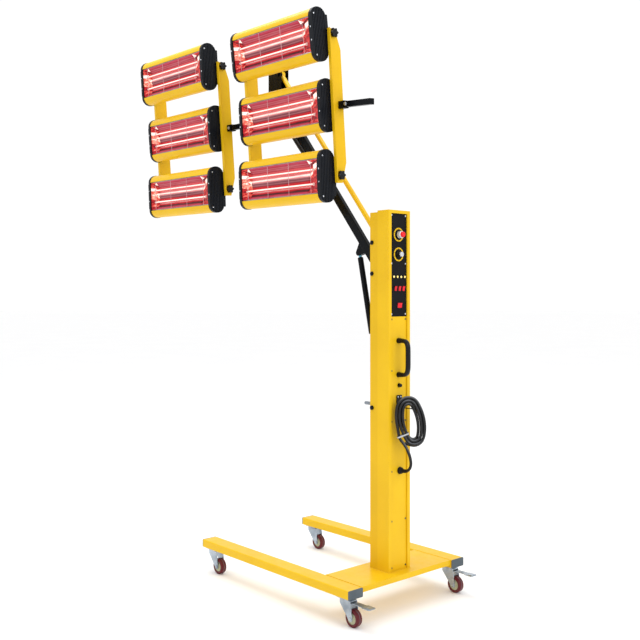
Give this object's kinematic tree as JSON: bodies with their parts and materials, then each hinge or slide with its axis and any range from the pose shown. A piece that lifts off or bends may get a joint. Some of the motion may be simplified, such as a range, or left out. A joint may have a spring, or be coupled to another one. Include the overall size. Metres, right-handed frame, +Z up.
{
  "type": "infrared paint curing lamp",
  "caption": "Wheeled infrared paint curing lamp: column on a castor base, sprung lifting arm and two banks of tilting lamp cassettes.",
  "frame": {"origin": "on the floor under the middle of the whole lamp", "axes": "+X forward, the way the legs reach; +Y to the operator's left, the way the cassettes shine; +Z up"},
  "size_m": [1.4912, 0.6252, 2.2121],
  "materials": {
    "black_paint": "gloss black paint",
    "bright_steel": "polished rod",
    "castor_tread": "maroon rubber on a pale hub",
    "charcoal_paint": "fine textured charcoal",
    "charcoal_plastic": "satin charcoal",
    "cord_rubber": "dark grey cord jacket",
    "gloss_black_plastic": "gloss black",
    "grey_plastic": "slate grey",
    "red_plastic": "glossy red",
    "red_quartz": "ruby quartz in front of a bright reflector",
    "silver_plastic": "satin silver with a red cap",
    "sleeve_rubber": "black ribbed sleeve",
    "white_plastic": "white strap",
    "yellow_powder_coat": "semi-gloss powder coat",
    "yellow_scale": "yellow scale on black",
    "zinc_steel": "zinc plated, slightly bluish"
  },
  "bodies": {
    "base": {"leg_frame": "yellow_powder_coat", "leg_plugs": "grey_plastic", "castor_plates": "zinc_steel", "mast_channel": "yellow_powder_coat", "cabinet_shell": "yellow_powder_coat", "back_cover": "yellow_powder_coat", "control_panel": "charcoal_paint", "panel_fittings": "yellow_scale", "carry_handle": "gloss_black_plastic", "cord_hook": "gloss_black_plastic", "cover_fittings": "gloss_black_plastic", "cord_coil": "cord_rubber", "cord_lead": "cord_rubber", "cord_tie": "white_plastic", "column_fasteners": "zinc_steel", "pivot_pins": "black_paint", "inner_modules": "grey_plastic"},
    "castor_back_left": {"castor_fork_back_left": "zinc_steel"},
    "wheel_back_left": {"castor_wheel_back_left": "castor_tread"},
    "castor_back_right": {"castor_fork_back_right": "zinc_steel"},
    "wheel_back_right": {"castor_wheel_back_right": "castor_tread"},
    "castor_front_left": {"castor_fork_front_left": "zinc_steel"},
    "wheel_front_left": {"castor_wheel_front_left": "castor_tread"},
    "castor_front_right": {"castor_fork_front_right": "zinc_steel"},
    "wheel_front_right": {"castor_wheel_front_right": "castor_tread"},
    "pedal_back_left": {"brake_pedal_back_left": "zinc_steel"},
    "pedal_back_right": {"brake_pedal_back_right": "zinc_steel"},
    "arm": {"arm": "black_paint", "cable_sleeve": "sleeve_rubber"},
    "tie": {"tie_rod": "yellow_powder_coat"},
    "bracket": {"end_bracket": "black_paint"},
    "gas_cylinder": {"gas_cylinder": "black_paint"},
    "gas_rod": {"gas_rod": "bright_steel"},
    "bank": {"crossbar": "black_paint", "side_plates": "yellow_powder_coat", "housings_middle": "yellow_powder_coat", "end_caps_middle": "charcoal_plastic", "emitters_middle": "red_quartz"},
    "cassette_back_upper": {"housing_back_upper": "yellow_powder_coat", "end_caps_back_upper": "charcoal_plastic", "emitter_back_upper": "red_quartz"},
    "knob_back_upper": {"clamp_knob_back_upper": "gloss_black_plastic"},
    "cassette_back_lower": {"housing_back_lower": "yellow_powder_coat", "end_caps_back_lower": "charcoal_plastic", "emitter_back_lower": "red_quartz"},
    "knob_back_lower": {"clamp_knob_back_lower": "gloss_black_plastic"},
    "cassette_front_upper": {"housing_front_upper": "yellow_powder_coat", "end_caps_front_upper": "charcoal_plastic", "emitter_front_upper": "red_quartz"},
    "knob_front_upper": {"clamp_knob_front_upper": "gloss_black_plastic"},
    "cassette_front_lower": {"housing_front_lower": "yellow_powder_coat", "end_caps_front_lower": "charcoal_plastic", "emitter_front_lower": "red_quartz"},
    "knob_front_lower": {"clamp_knob_front_lower": "gloss_black_plastic"},
    "bank_switch_1": {"bank_switch_1": "red_plastic"},
    "bank_switch_2": {"bank_switch_2": "red_plastic"},
    "bank_switch_3": {"bank_switch_3": "red_plastic"},
    "main_switch": {"main_switch": "red_plastic"},
    "timer_knob": {"timer_knob": "gloss_black_plastic"},
    "push_knob": {"push_knob": "silver_plastic"}
  },
  "joints": [
    {"name": "castor_swivel_back_left", "type": "hinge", "parent": "base", "child": "castor_back_left", "pos_m": [-0.62597, 0.26766, 0.09], "axis": [0, 0, 1], "continuous": true},
    {"name": "wheel_roll_back_left", "type": "hinge", "parent": "castor_back_left", "child": "wheel_back_left", "pos_m": [-0.65297, 0.26766, 0.0315], "axis": [0, 1, 0], "continuous": true},
    {"name": "castor_swivel_back_right", "type": "hinge", "parent": "base", "child": "castor_back_right", "pos_m": [-0.62597, -0.27834, 0.09], "axis": [0, 0, 1], "continuous": true},
    {"name": "wheel_roll_back_right", "type": "hinge", "parent": "castor_back_right", "child": "wheel_back_right", "pos_m": [-0.65297, -0.27834, 0.0315], "axis": [0, 1, 0], "continuous": true},
    {"name": "castor_swivel_front_left", "type": "hinge", "parent": "base", "child": "castor_front_left", "pos_m": [0.17203, 0.26766, 0.09], "axis": [0, 0, 1], "continuous": true},
    {"name": "wheel_roll_front_left", "type": "hinge", "parent": "castor_front_left", "child": "wheel_front_left", "pos_m": [0.14503, 0.26766, 0.0315], "axis": [0, 1, 0], "continuous": true},
    {"name": "castor_swivel_front_right", "type": "hinge", "parent": "base", "child": "castor_front_right", "pos_m": [0.17203, -0.27834, 0.09], "axis": [0, 0, 1], "continuous": true},
    {"name": "wheel_roll_front_right", "type": "hinge", "parent": "castor_front_right", "child": "wheel_front_right", "pos_m": [0.14503, -0.27834, 0.0315], "axis": [0, 1, 0], "continuous": true},
    {"name": "brake_press_back_left", "type": "hinge", "parent": "castor_back_left", "child": "pedal_back_left", "pos_m": [-0.64297, 0.26766, 0.0842], "axis": [0, -1, 0], "range_deg": [0, 12]},
    {"name": "brake_press_back_right", "type": "hinge", "parent": "castor_back_right", "child": "pedal_back_right", "pos_m": [-0.64297, -0.27834, 0.0842], "axis": [0, -1, 0], "range_deg": [0, 12]},
    {"name": "arm_lift", "type": "hinge", "parent": "base", "child": "arm", "pos_m": [-0.52497, -0.00534, 1.23], "axis": [0, -1, 0], "range_deg": [-50, 8]},
    {"name": "tie_lift", "type": "hinge", "parent": "base", "child": "tie", "pos_m": [-0.52497, -0.00534, 1.346], "axis": [0, -1, 0], "range_deg": [-51, 9]},
    {"name": "bracket_level", "type": "hinge", "parent": "arm", "child": "bracket", "pos_m": [0.07603, -0.00534, 1.973], "axis": [0, 1, 0], "range_deg": [-51, 9]},
    {"name": "spring_swing", "type": "hinge", "parent": "arm", "child": "gas_cylinder", "pos_m": [-0.40161, -0.00534, 1.31414], "axis": [0, 1, 0], "range_deg": [-45.54, 8.13]},
    {"name": "spring_stroke", "type": "slide", "parent": "gas_cylinder", "child": "gas_rod", "axis": [-0.2082, 0, -0.9781], "range_m": [-0.11739, 0.02046]},
    {"name": "bank_tilt", "type": "hinge", "parent": "bracket", "child": "bank", "pos_m": [0.09603, 0.16566, 1.858], "axis": [0.9999, 0, 0.014], "range_deg": [-30, 30]},
    {"name": "cassette_tilt_back_upper", "type": "hinge", "parent": "bank", "child": "cassette_back_upper", "pos_m": [-0.4825, 0.21078, 2.10703], "axis": [0.9999, 0, 0.014], "range_deg": [-25, 12]},
    {"name": "knob_turn_back_upper", "type": "hinge", "parent": "bank", "child": "knob_back_upper", "pos_m": [-0.4825, 0.21078, 2.10703], "axis": [0.9999, 0, 0.014], "range_deg": [0, 90]},
    {"name": "cassette_tilt_back_lower", "type": "hinge", "parent": "bank", "child": "cassette_back_lower", "pos_m": [-0.47531, 0.16662, 1.59197], "axis": [0.9999, 0, 0.014], "range_deg": [-12, 25]},
    {"name": "knob_turn_back_lower", "type": "hinge", "parent": "bank", "child": "knob_back_lower", "pos_m": [-0.47531, 0.16662, 1.59197], "axis": [0.9999, 0, 0.014], "range_deg": [0, 90]},
    {"name": "cassette_tilt_front_upper", "type": "hinge", "parent": "bank", "child": "cassette_front_upper", "pos_m": [0.21343, 0.21078, 2.11675], "axis": [0.9999, 0, 0.014], "range_deg": [-25, 12]},
    {"name": "knob_turn_front_upper", "type": "hinge", "parent": "bank", "child": "knob_front_upper", "pos_m": [0.21343, 0.21078, 2.11675], "axis": [0.9999, 0, 0.014], "range_deg": [0, 90]},
    {"name": "cassette_tilt_front_lower", "type": "hinge", "parent": "bank", "child": "cassette_front_lower", "pos_m": [0.22062, 0.16662, 1.60169], "axis": [0.9999, 0, 0.014], "range_deg": [-12, 25]},
    {"name": "knob_turn_front_lower", "type": "hinge", "parent": "bank", "child": "knob_front_lower", "pos_m": [0.22062, 0.16662, 1.60169], "axis": [0.9999, 0, 0.014], "range_deg": [0, 90]},
    {"name": "press_bank_switch_1", "type": "hinge", "parent": "base", "child": "bank_switch_1", "pos_m": [-0.60647, 0.01036, 1.1745], "axis": [0, 1, 0], "range_deg": [0, 9]},
    {"name": "press_bank_switch_2", "type": "hinge", "parent": "base", "child": "bank_switch_2", "pos_m": [-0.60647, -0.01084, 1.1745], "axis": [0, 1, 0], "range_deg": [0, 9]},
    {"name": "press_bank_switch_3", "type": "hinge", "parent": "base", "child": "bank_switch_3", "pos_m": [-0.60647, -0.03204, 1.1745], "axis": [0, 1, 0], "range_deg": [0, 9]},
    {"name": "press_main_switch", "type": "hinge", "parent": "base", "child": "main_switch", "pos_m": [-0.60647, -0.01084, 1.112], "axis": [0, 1, 0], "range_deg": [0, 9]},
    {"name": "timer_turn", "type": "hinge", "parent": "base", "child": "timer_knob", "pos_m": [-0.60797, -0.00534, 1.301], "axis": [-1, 0, 0], "range_deg": [0, 270]},
    {"name": "push_press", "type": "slide", "parent": "base", "child": "push_knob", "axis": [1, 0, 0], "range_m": [0, 0.003], "stiffness_N_per_m": 1200, "springref_m": -0.0005}
  ],
  "couplings": [
    {"joint": "tie_lift", "follows": "arm_lift", "ratio": 1},
    {"joint": "bracket_level", "follows": "arm_lift", "ratio": 1},
    {"joint": "spring_swing", "follows": "arm_lift", "ratio": 0.89073},
    {"joint": "spring_stroke", "follows": "arm_lift", "m_per_rad": 0.13223}
  ]
}
